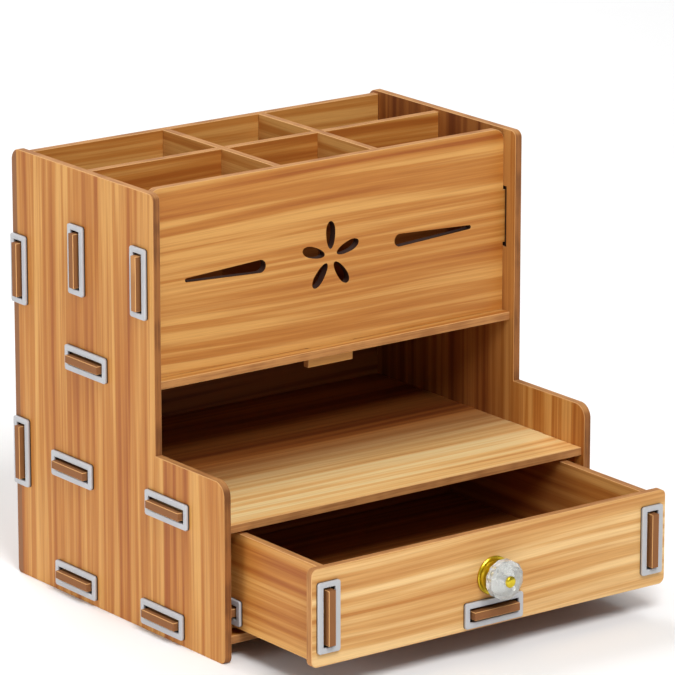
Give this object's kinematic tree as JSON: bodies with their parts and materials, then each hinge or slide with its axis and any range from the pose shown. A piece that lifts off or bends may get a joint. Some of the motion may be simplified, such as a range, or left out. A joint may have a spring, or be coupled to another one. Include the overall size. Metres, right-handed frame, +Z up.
{
  "type": "desk organizer",
  "caption": "Slot-together board desk organizer with a divided pen box, an open phone shelf and a drawer with a round crystal knob, held by snap-in plastic buckles.",
  "frame": {"origin": "on the desk under the middle of the whole object's box, with the drawer pulled out as stored", "axes": "+X to the user's right, +Y from the front to the back, +Z up"},
  "size_m": [0.311, 0.345, 0.294],
  "materials": {
    "board_upright_grain": "satin",
    "board_level_grain": "satin",
    "buckle": "satin",
    "knob_metal": "polished",
    "knob_crystal": "polished",
    "knob_foil": "polished",
    "screw": "satin"
  },
  "bodies": {
    "case": {"side_panel_left": "board_upright_grain", "side_panel_right": "board_upright_grain", "back_panel": "board_level_grain", "middle_panel": "board_level_grain", "front_panel": "board_level_grain", "pen_shelf": "board_level_grain", "phone_shelf": "board_level_grain", "bottom_panel": "board_level_grain", "divider_left": "board_level_grain", "divider_right": "board_level_grain", "buckle_left_front_panel": "buckle", "buckle_right_front_panel": "buckle", "buckle_left_middle_panel": "buckle", "buckle_right_middle_panel": "buckle", "buckle_left_back_panel_upper": "buckle", "buckle_right_back_panel_upper": "buckle", "buckle_left_back_panel_lower": "buckle", "buckle_right_back_panel_lower": "buckle", "buckle_left_pen_shelf": "buckle", "buckle_right_pen_shelf": "buckle", "buckle_left_phone_shelf_front": "buckle", "buckle_right_phone_shelf_front": "buckle", "buckle_left_phone_shelf_rear": "buckle", "buckle_right_phone_shelf_rear": "buckle", "buckle_left_bottom_front": "buckle", "buckle_right_bottom_front": "buckle", "buckle_left_bottom_rear": "buckle", "buckle_right_bottom_rear": "buckle", "buckle_back_pen_shelf": "buckle", "buckle_back_phone_shelf": "buckle", "buckle_back_bottom": "buckle"},
    "drawer": {"drawer_front": "board_level_grain", "drawer_side_left": "board_level_grain", "drawer_side_right": "board_level_grain", "drawer_back": "board_level_grain", "drawer_bottom": "board_level_grain", "drawer_buckle_front_bottom": "buckle", "drawer_buckle_back_bottom": "buckle", "drawer_buckle_front_left": "buckle", "drawer_buckle_bottom_left": "buckle", "drawer_buckle_back_left": "buckle", "drawer_buckle_front_right": "buckle", "drawer_buckle_bottom_right": "buckle", "drawer_buckle_back_right": "buckle", "knob_base": "knob_metal", "knob_crystal": "knob_crystal", "knob_foil": "knob_foil", "knob_cap": "knob_metal", "knob_washer": "screw", "knob_screw": "screw"}
  },
  "joints": [
    {"name": "drawer_slide", "type": "slide", "parent": "case", "child": "drawer", "axis": [0, -1, 0], "range_m": [-0.085, 0.1]}
  ]
}
